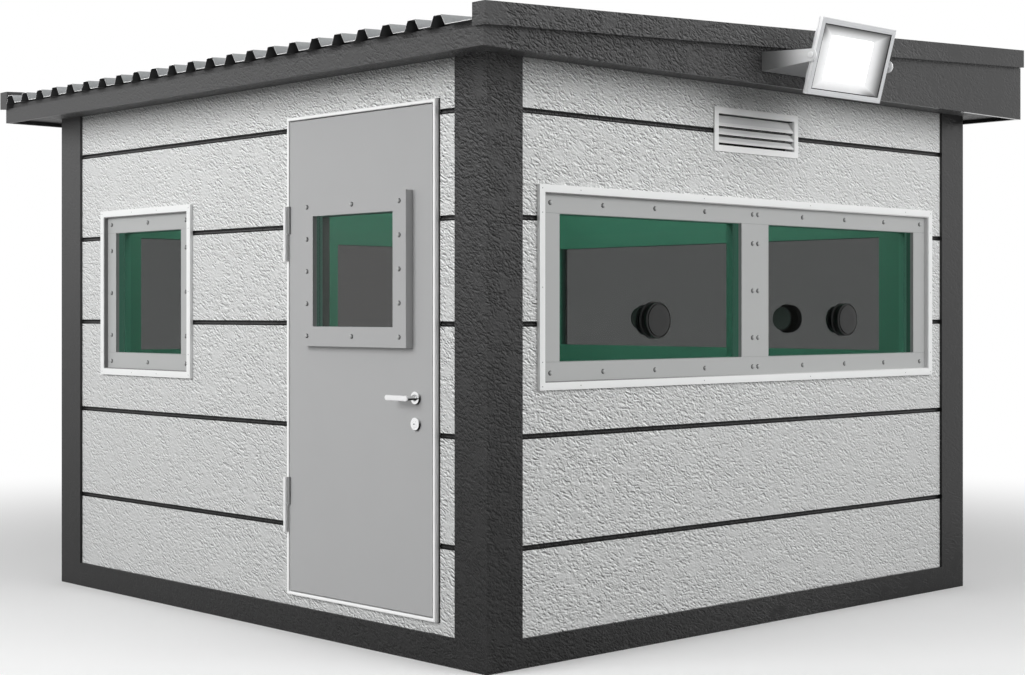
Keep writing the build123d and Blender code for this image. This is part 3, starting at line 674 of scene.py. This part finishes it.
casing_paint = plain_paint("White casing paint", (0.92, 0.925, 0.92), 0.36)
dress(casing_paint, "door_paint", "door_casing")
casing_low, casing_high = box_of("door_casing")
casing_half = (casing_high - casing_low) / 2
seal_section = rounded([(0.0, -0.0005), (0.0, 0.0022), (0.0075, 0.0012), (0.0075, -0.0005)], 0.0006)
casing_middle = door_wall_middle(casing_low, casing_high)
end_inset = 0.005  # from the casing's top and foot to the seal's
seal = moulding(casing_half[1], casing_half[2] - end_inset, seal_section, casing_middle)
surface("door_casing_seal", seal, wall_side("left", panel_out), rubber, "cabin")

# Door leaf: a flush steel leaf with a foam core, sprayed a smooth mid grey. Round the pane's edge it
# emits a green painted glow of the pane's edge.
leaf_paint, shader, place = finish_named("Door leaf paint", 0.42, Emission_Strength=1.0)
coated(shader, place, (0.388, 0.390, 0.392), 0.025, 4.0, 0.00012)
pane_low, pane_high = box_of("door_window_glass")
in_groove, slack = 1.0, 0.0004
for axis, middle, half in zip(axes_of(place), (pane_low + pane_high) / 2, (pane_high - pane_low) / 2):
    in_groove = product(in_groove, value_of("COMPARE", axis, middle, half + slack))
# Painted glow: where the pane's edge sits, the leaf emits the green of that edge.
feed(shader, "Emission Color", shaded(painted_edge_glow, in_groove))
dress(leaf_paint, "door_paint", "door_leaf")

# Door window: a deep steel box screwed to the leaf holds the pane from outside, and a flat ring holds
# it from the room.
dress(leaf_paint, "door_paint", "door_window_frame")
door_glass, shader, place = finish_named("Tinted door glass", 0.0, IOR=1.07, Transmission_Weight=0.95)
coated(shader, place, (0.285, 0.280, 0.278), 0.015, 1.5)
dress(door_glass, "tinted_glass", "door_window_glass")
box_across, box_up = door_wall_middle(*box_of("door_window_frame"))
box_screw_x, box_screw_step = 0.311, 0.138
spots = [(box_across + i * box_screw_x, box_up + j * box_screw_step) for i in (-1, 1) for j in range(-2, 3)]
spots += [(box_across, box_up + j * 2 * box_screw_step) for j in (-1, 1)]
screwed("door_window", spots, 0.040, "left", "door", "door_paint")

# Lock and handle roses: turned plates on both faces of the leaf, brightly plated. The lower pair
# carries the lock cylinder with its keyway.


def plated(name, roughness, reflection_shade):
    """Bright plating with a cloudy polish and very fine marks. The last argument takes a position and gives
    the share of the colour kept there: a painted reflection of the dark ground darkens the low flanks."""
    material, shader, place = finish_named(name, roughness, 1.0)
    # Painted reflection: the colour is darkened by the share given for each position.
    coated(shader, place, (0.86, 0.865, 0.87), 0.04, 60.0, 0.00003, reflection_shade(place))
    return material


def slotted(length, height, count=48):
    """Outline of a bar with half-round ends: each end's centre plus half the height times the cosine and
    sine of the turn, the centre being on the side that the turn looks to."""
    turn = (np.arange(count) + 0.5) * 2 * pi / count
    offset = np.sign(np.cos(turn)) * (length - height) / 2
    return np.stack([offset + height / 2 * np.cos(turn), height / 2 * np.sin(turn)], 1)


def lofted(outlines, heights):
    """Skin through outlines with as many points each, one at each height, from the back to the front, with
    flat ends."""
    rings = np.stack([np.column_stack([outline, np.full(len(outline), height)])
                      for outline, height in zip(outlines, heights)])
    rows, count = rings.shape[:2]
    faces = [[a, d, c, b] for a, b, c, d in ring_faces(rows, count)]
    ring = np.arange(count)
    return rings, faces + [ring[::-1].tolist(), (ring + (rows - 1) * count).tolist()]


def placed(shape, centre, flip=False):
    """A shape brought to across, up and out; flipped, it is turned half round the upright line."""
    points, faces = shape
    points = points.reshape(-1, 3) * ((-1, 1, -1) if flip else (1, 1, 1))
    return points + np.array(centre, float), faces


def ring_stack(rings, count=48):
    """Round outlines for rings of radius and height, each with a hair of flat, and their heights."""
    return [slotted(2 * radius + 0.0001, 2 * radius, count) for radius, _ in rings], [h for _, h in rings]


lock_low, lock_high = box_of("door_lock")
rose_across, rose_radius = door_wall_middle(lock_low, lock_high)[0], (lock_high[1] - lock_low[1]) / 2
handle_z, lock_z = lock_high[2] - rose_radius, lock_low[2] + rose_radius
leaf_low, leaf_high = box_of("door_leaf")
leaf_front, leaf_back = -leaf_low[0] - post_face, -leaf_high[0] - post_face


def rose_flank(place):
    """1 on a rose's face and 0.05 on its flank, on the side away from the hinges and the ceiling:
    a painted reflection of the dark ground.
    """
    y, z = axes_of(place)[1:]
    upper = value_of("GREATER_THAN", z, (handle_z + lock_z) / 2)
    rise = value_of("SUBTRACT", z, value_of("MULTIPLY_ADD", upper, handle_z - lock_z, lock_z))
    aside = value_of("ADD", y, rose_across)
    squares = value_of("MULTIPLY_ADD", rise, rise, product(aside, aside))
    flank = ramped(value_of("SQRT", squares), rose_radius - 0.0030, rose_radius - 0.0015)
    turned_away = value_of("MULTIPLY", value_of("ADD", rise, aside), -40.0, clamp=True)
    return value_of("MULTIPLY_ADD", product(flank, turned_away), -0.95, 1.0)


def neck_flank(place):
    """1 on the upper half of the lever's neck and 0.04 on its lower half: a painted reflection of the
    dark ground.
    """
    return ramped(axes_of(place)[2], handle_z - 0.0015, handle_z + 0.0015, 0.04, 1.0)


chrome = plated("Bright plating", 0.12, rose_flank)
boss, boss_heights = ring_stack([(rose_radius, 0.0), (rose_radius, 0.0072), (0.0262, 0.0090),
                                 (0.0243, 0.0098), (0.0150, 0.0100)])
handle_rose = lofted(boss + [slotted(0.0251, 0.025), slotted(0.0241, 0.024)],
                     boss_heights + [0.0100, 0.0098])
cylinder = [slotted(length, height) for length, height in ((0.0261, 0.026), (0.0255, 0.0254),
                                                           (0.0145, 0.0050), (0.0140, 0.0045))]
lock_rose = lofted(boss + cylinder, boss_heights + [0.0112, 0.0118, 0.0118, 0.0030])
roses = [placed(rose, (rose_across, z, out), flip)
         for rose, z in ((handle_rose, handle_z), (lock_rose, lock_z))
         for out, flip in ((leaf_front, False), (leaf_back, True))]
lock = surface("door_lock_turned", gathered(*roses), wall_side("left"), chrome, "door", 25)
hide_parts("door_lock")

# Lever handle: a flat satin grip with rounded ends on a plated neck, one on each face, joined by the
# spindle that turns the latch.
satin, shader, place = finish_named("Satin steel", 0.34, 0.9)
brushed = joined("ShaderNodeVectorMath", {0: place, 1: (900.0, 18.0, 900.0)}, operation="MULTIPLY")
lines = joined("ShaderNodeTexNoise", {"Vector": brushed, "Scale": 1.0, "Detail": 3.0})
feed(shader, "Base Color", shaded((0.86, 0.86, 0.865), ramped(lines, 0.3, 0.7, 0.95, 1.03)))
feed(shader, "Roughness", ramped(lines, 0.3, 0.7, 0.28, 0.42))
bumped(shader, lines, 0.00006)
grip_low, grip_high = box_of("door_handle")
grip_length, grip_height = grip_high[1] - grip_low[1], grip_high[2] - grip_low[2]
grip_across, grip_half_depth = door_wall_middle(grip_low, grip_high)[0], 0.0055
insets = ((0.0045, -grip_half_depth), (0.0018, -0.0048), (0.0, -0.0025), (0.0, 0.0025), (0.0018, 0.0048),
          (0.0045, grip_half_depth))
grip = lofted([slotted(grip_length - 2 * i, grip_height - 2 * i) for i, _ in insets], [h for _, h in insets])
grip_outs = (-grip_low[0] - post_face - grip_half_depth, -grip_high[0] - post_face + grip_half_depth)
both = gathered(*[placed(grip, (grip_across, handle_z, out)) for out in grip_outs])
grips = surface("door_handle_grips", both, wall_side("left"), satin, "lever", 40)
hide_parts("door_handle")
neck_plating = plated("Neck plating", 0.1, neck_flank)
neck = lofted(*ring_stack([(0.0075, grip_outs[1]), (0.0075, leaf_back - 0.014), (0.0100, leaf_back - 0.0115),
                           (0.0078, leaf_back - 0.0100), (0.0078, leaf_front + 0.0100),
                           (0.0100, leaf_front + 0.0115), (0.0083, leaf_front + 0.014),
                           (0.0083, grip_outs[0] - 0.018), (0.0088, grip_outs[0])], 32))
surface("door_handle_neck", placed(neck, (rose_across, handle_z, 0.0)), wall_side("left"), neck_plating,
        "lever", 40)

# Hinges: two pairs of steel knuckles on fixed pins. The lower knuckle stands on the casing and the
# upper one is strapped to the leaf. Their one paint is painted pale on the barrels, as painted light,
# and dark on the plates over the casing's edge, as painted shade.
hinge_paint, shader, place = finish_named("Hinge paint", 0.4)
plate_edge = -0.3588
# Painted shade on the plates over the casing's edge and painted light on the barrels.
shaded_plate = value_of("LESS_THAN", axes_of(place)[1], plate_edge)
coat = blended(shaded_plate, (0.95, 0.954, 0.954), (0.22, 0.222, 0.222))
coated(shader, place, coat, 0.03, 8.0, 0.00012)
dress(hinge_paint, "grey_frame", "hinge_casing_halves", "hinge_leaf_halves")

# Floodlight bracket: a folded plate on the front fascia with a tapered arm on each side of the head,
# powder-coated a satin grey. The coat is painted darker towards the fascia, as painted shade of the
# roof's edge.
cast_paint, shader, place = finish_named("Bracket powder coat", 0.45)
# Painted shade: the arms' coat is darkened towards the fascia.
under_roof = ramped(axes_of(place)[1], -2.11, -1.92, 1.0, 0.30)
coated(shader, place, (0.86, 0.865, 0.87), 0.03, 9.0, 0.0002, under_roof)
dress(cast_paint, "lamp_silver", "floodlight_bracket")

# Floodlight head: a die-cast bezel with shallow grooves is bolted to a finned-back housing, and both
# tilt together on the arms' pivots. A black gasket lies between the bezel and the reflector.
head_paint, shader, place = finish_named("Cast head paint", 0.32, 0.1)
# Painted light: the head's left flank is painted near white, lighter than the rest of its paint.
flank_x = -0.2180
flank = value_of("LESS_THAN", axes_of(place)[0], flank_x)
coat = blended(flank, (0.64, 0.648, 0.66), (0.98, 0.985, 0.99))
coated(shader, place, coat, 0.03, 4.0, 0.0002)
dress(head_paint, "lamp_silver", "floodlight_housing")
head_x, head_y, head_z = 0.0445, -2.12, 2.488
lean = radians(15.8)
head_place = (np.array((head_x, head_y, head_z)), np.array((1.0, 0.0, 0.0)),
              np.array((0.0, -sin(lean), cos(lean))), np.array((0.0, -cos(lean), -sin(lean))))
bezel_half = (0.263, 0.164)
bezel_section = [(-0.024, -0.012), (-0.024, 0.0098), (-0.0222, 0.0112), (-0.0176, 0.0120), (-0.0168, 0.0110),
                 (-0.0156, 0.0110), (-0.0148, 0.0120), (-0.0082, 0.0120), (-0.0074, 0.0108),
                 (-0.0062, 0.0108), (-0.0054, 0.0118), (-0.0026, 0.0116), (-0.0008, 0.0100), (0.0, 0.0074),
                 (0.0, -0.0050), (-0.0010, -0.0058), (-0.0010, -0.0070), (0.0, -0.0078), (0.0, -0.0106),
                 (-0.0014, -0.012)]
bezel = moulding(*bezel_half, bezel_section)
pivot_points, pivot_faces = lofted(*ring_stack([(0.0080, -0.004), (0.0080, 0.0135), (0.0112, 0.0150),
                                                (0.0124, 0.0165), (0.0130, 0.0190), (0.0130, 0.0205),
                                                (0.0112, 0.0210)], 32))
ahead, aside, outward = pivot_points.reshape(-1, 3).T
pivots = [(np.column_stack([side * (bezel_half[0] + outward), side * aside, ahead]), pivot_faces)
          for side in (-1, 1)]
head = surface("floodlight_bezel", gathered(bezel, *pivots), head_place, head_paint, "lamp_head",
               28)
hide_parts("floodlight_frame")
gasket_section = rounded([(-0.0282, -0.0105), (-0.0282, 0.0092), (-0.0238, 0.0092), (-0.0238, -0.0105)],
                         0.0008)
surface("floodlight_gasket", moulding(*bezel_half, gasket_section), head_place, rubber, "lamp_head")

# Reflector and lens: a pressed bright reflector slopes in to the diffusing cover of the lamp, which is
# lit. The reflector's colour is painted darker towards its rim, most on the right and at the top, as a
# painted reflection of the dim eaves.


def past(offset, half, width):
    """How far an offset from the middle lies beyond half, either way, as a share of a width."""
    beyond = value_of("SUBTRACT", value_of("ABSOLUTE", offset), half)
    return value_of("DIVIDE", beyond, width)


mirror, shader, place = finish_named("Pressed reflector", 0.38, 0.6)
x, y, z = axes_of(place)
aside = value_of("SUBTRACT", x, head_x)
rise = value_of("SUBTRACT", product(value_of("SUBTRACT", z, head_z), cos(lean)),
                product(value_of("SUBTRACT", y, head_y), sin(lean)))
cover_half, slope_width = (0.145, 0.092), (0.094, 0.048)
edge = value_of("MAXIMUM", *map(past, (aside, rise), cover_half, slope_width))
# Painted reflection: the colour is darkened towards the rim, most on the right and at the top.
toward_rim = ramped(edge, 0.1, 1.05)
dim_side = value_of("MAXIMUM", ramped(x, 0.12, 0.24), ramped(rise, 0.05, 0.11))
loss = product(toward_rim, value_of("MULTIPLY_ADD", dim_side, -0.62, -0.28))
kept = value_of("ADD", loss, 1.0)
coated(shader, place, (0.92, 0.925, 0.93), 0.04, 40.0, 0.0001, kept)
dress(mirror, "lamp_silver", "floodlight_reflector")
diffuser, shader, place = finish_named("Lit diffuser", 0.3, Emission_Strength=1.6)
cells = joined("ShaderNodeTexVoronoi", {"Vector": place, "Scale": 120.0})
feed(shader, "Emission Color", blended(ramped(cells, 0.0, 0.6), (1.0, 1.0, 1.0), (0.93, 0.95, 0.96)))
shader.inputs["Base Color"].default_value = (0.9, 0.9, 0.9, 1.0)
bumped(shader, cells, 0.0004)
dress(diffuser, "lamp_lens", "floodlight_lens")

# Stage: a pale floor that turns into plain white some way from the booth, and a white surround that
# lights the booth softly, more from the horizon than from above.


def seen_directly(tree):
    """1 for rays from the camera, a reflection or a clear pane, and 0 for scattered light."""
    path = tree.nodes.new("ShaderNodeLightPath").outputs
    return value_of("MAXIMUM", path["Is Camera Ray"],
                    value_of("MAXIMUM", path["Is Glossy Ray"], path["Is Transmission Ray"]))


floor_material = bpy.data.materials.new("Pale floor")
floor_material.use_nodes = True
tree = floor_material.node_tree
tree.nodes.remove(tree.nodes["Principled BSDF"])
place = tree.nodes.new("ShaderNodeTexCoord").outputs["Object"]
away = ramped(joined("ShaderNodeVectorMath", {0: place}, "Value", operation="LENGTH"), 2.8, 7.5)
pale = joined("ShaderNodeBsdfDiffuse", {"Color": (0.92, 0.92, 0.92, 1.0)}, tree=tree)
white = joined("ShaderNodeEmission", {"Color": (1.0, 1.0, 1.0, 1.0), "Strength": 1.0}, tree=tree)
seen = joined("ShaderNodeMixShader", {0: away, 1: pale, 2: white})
dull = joined("ShaderNodeBsdfDiffuse", {"Color": (0.22, 0.22, 0.22, 1.0)}, tree=tree)
tree.links.new(joined("ShaderNodeMixShader", {0: seen_directly(tree), 1: dull, 2: seen}),
               tree.nodes["Material Output"].inputs["Surface"])
half_floor, rows = 60.0, 25
across = np.linspace(-half_floor, half_floor, rows)
grid = np.stack(np.meshgrid(across, across, indexing="ij") + [np.zeros((rows, rows))], -1)
ground = bpy.data.meshes.new("stage_floor")
ground.from_pydata(grid.reshape(-1, 3).tolist(), [], grid_faces(rows, rows))
ground.materials.append(floor_material)
stage_floor = bpy.data.objects.new("stage_floor", ground)
bpy.context.scene.collection.objects.link(stage_floor)

world = bpy.data.worlds.new("Studio")
bpy.context.scene.world = world
world.use_nodes = True
tree = world.node_tree
backdrop = tree.nodes["Background"]
backdrop.inputs["Strength"].default_value = 1.0
direction = tree.nodes.new("ShaderNodeTexCoord").outputs["Generated"]
upward = axes_of(direction)[2]
soft = shaded((0.50, 0.50, 0.50), ramped(upward, -0.1, 0.9, 1.15, 0.8))
tree.links.new(blended(seen_directly(tree), soft, (1.0, 1.0, 1.0)), backdrop.inputs["Color"])

# Lights: one large soft lamp lights the door side and one the window side, and a soft lamp under the
# ceiling lights the room.


def soft_lamp(name, location, target, size, power):
    """Square area lamp at location, turned towards target."""
    data = bpy.data.lights.new(name, "AREA")
    data.shape, data.size, data.energy = "SQUARE", size, power
    lamp = bpy.data.objects.new(name, data)
    bpy.context.scene.collection.objects.link(lamp)
    lamp.location = location
    lamp.rotation_euler = (Vector(target) - Vector(location)).to_track_quat("-Z", "Y").to_euler()
    lamp.visible_camera = lamp.visible_glossy = lamp.visible_transmission = False


soft_lamp("door_side_key", (-10.2, 1.2, 4.7), (0.0, 0.0, 1.3), 5.5, 705.0)
soft_lamp("window_side_key", (1.6, -10.5, 4.8), (0.0, 0.0, 1.3), 7.0, 665.0)
soft_lamp("room", (0.0, 0.0, 2.36), (0.0, 0.0, 0.0), 2.9, 68.0)

# Camera: level at the height of a person's chest, facing the door corner, with the horizon a little
# above the middle of the frame.
lens = bpy.data.cameras.new("camera")
lens.lens, lens.sensor_width, lens.shift_y = 62.26, 36.0, -0.0235
camera = bpy.data.objects.new("camera", lens)
camera.location = (-6.2522, -6.7139, 1.3981)
camera.rotation_euler = (radians(90.0), 0.0, radians(-43.09))
bpy.context.scene.collection.objects.link(camera)
bpy.context.scene.camera = camera
bpy.context.scene.view_settings.view_transform = "Standard"
